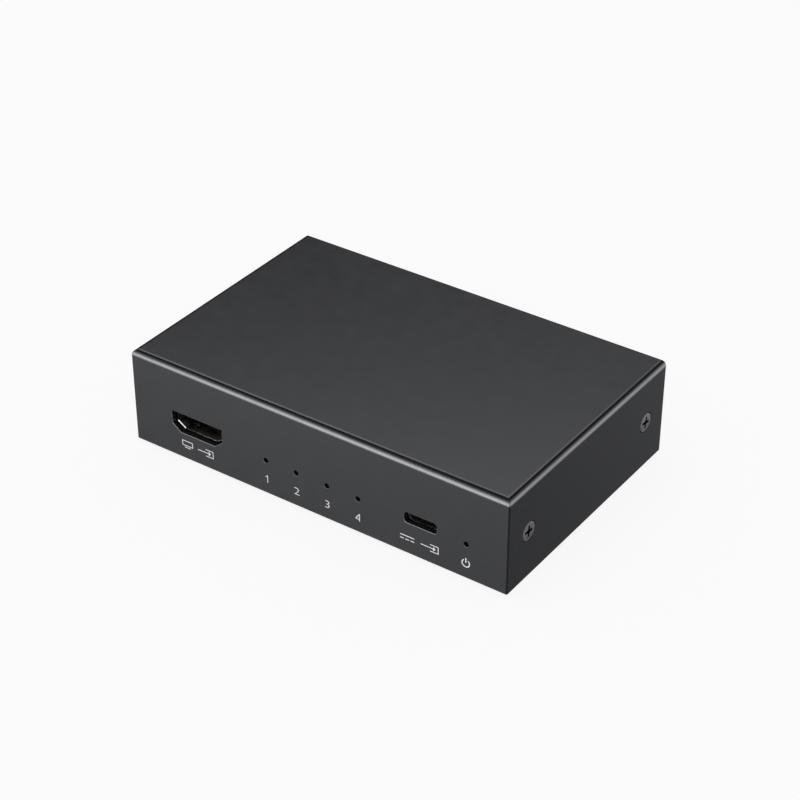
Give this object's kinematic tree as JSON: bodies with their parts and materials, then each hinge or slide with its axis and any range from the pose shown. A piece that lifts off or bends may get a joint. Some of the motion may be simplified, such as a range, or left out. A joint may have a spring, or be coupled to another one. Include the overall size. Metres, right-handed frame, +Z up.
{
  "type": "hdmi splitter",
  "caption": "Low rectangular metal case that repeats a video signal to several displays: input socket, power inlet and lights on the front, output sockets on the back.",
  "frame": {"origin": "below the centre of the case, on the plane that the four feet rest on", "axes": "+X to the right along the case's width seen from the front, +Y from the front to the back, +Z up; the front face with the input socket looks towards -Y"},
  "size_m": [0.105, 0.0676, 0.0261],
  "materials": {
    "case_coat": "satin dark grey coating",
    "base_coat": "matt dark grey coating",
    "screw_steel": "dark plated steel",
    "foot_rubber": "matt black",
    "standoff_steel": "plated",
    "board_screw_steel": "plated",
    "board_mask": "green solder mask",
    "chip_black": "moulded",
    "thermal_pad": "soft",
    "heat_sink_black": "black anodised",
    "crystal_can": "tinned",
    "inductor_ferrite": "ferrite",
    "capacitor_can": "bright",
    "ceramic_tan": "ceramic",
    "fuse_green": "moulded",
    "socket_shell": "nickel plated",
    "socket_plastic": "moulded black",
    "contact_gold": "gold plated",
    "led_lens": "clear epoxy",
    "holder_black": "moulded black"
  },
  "bodies": {
    "root": {"top_cover": "case_coat", "base_plate": "base_coat", "cover_screws": "screw_steel", "foot_front_left": "foot_rubber", "foot_front_right": "foot_rubber", "foot_rear_left": "foot_rubber", "foot_rear_right": "foot_rubber", "board_standoffs": "standoff_steel", "board_screws": "board_screw_steel", "main_board": "board_mask", "splitter_chip": "chip_black", "control_chip": "chip_black", "memory_chip": "chip_black", "regulators": "chip_black", "chip_resistors": "chip_black", "esd_arrays": "chip_black", "thermal_pad": "thermal_pad", "heat_sink": "heat_sink_black", "clock_crystal": "crystal_can", "power_inductor": "inductor_ferrite", "bulk_capacitors": "capacitor_can", "chip_capacitors": "ceramic_tan", "input_fuse": "fuse_green", "video_input_shell": "socket_shell", "video_input_insulator": "socket_plastic", "video_input_contacts": "contact_gold", "video_output_1_shell": "socket_shell", "video_output_1_insulator": "socket_plastic", "video_output_1_contacts": "contact_gold", "video_output_2_shell": "socket_shell", "video_output_2_insulator": "socket_plastic", "video_output_2_contacts": "contact_gold", "video_output_3_shell": "socket_shell", "video_output_3_insulator": "socket_plastic", "video_output_3_contacts": "contact_gold", "video_output_4_shell": "socket_shell", "video_output_4_insulator": "socket_plastic", "video_output_4_contacts": "contact_gold", "power_inlet_shell": "socket_shell", "power_inlet_insulator": "socket_plastic", "power_inlet_contacts": "contact_gold", "channel_led_1": "led_lens", "channel_led_1_holder": "holder_black", "channel_led_2": "led_lens", "channel_led_2_holder": "holder_black", "channel_led_3": "led_lens", "channel_led_3_holder": "holder_black", "channel_led_4": "led_lens", "channel_led_4_holder": "holder_black", "power_led": "led_lens", "power_led_holder": "holder_black"}
  },
  "joints": []
}
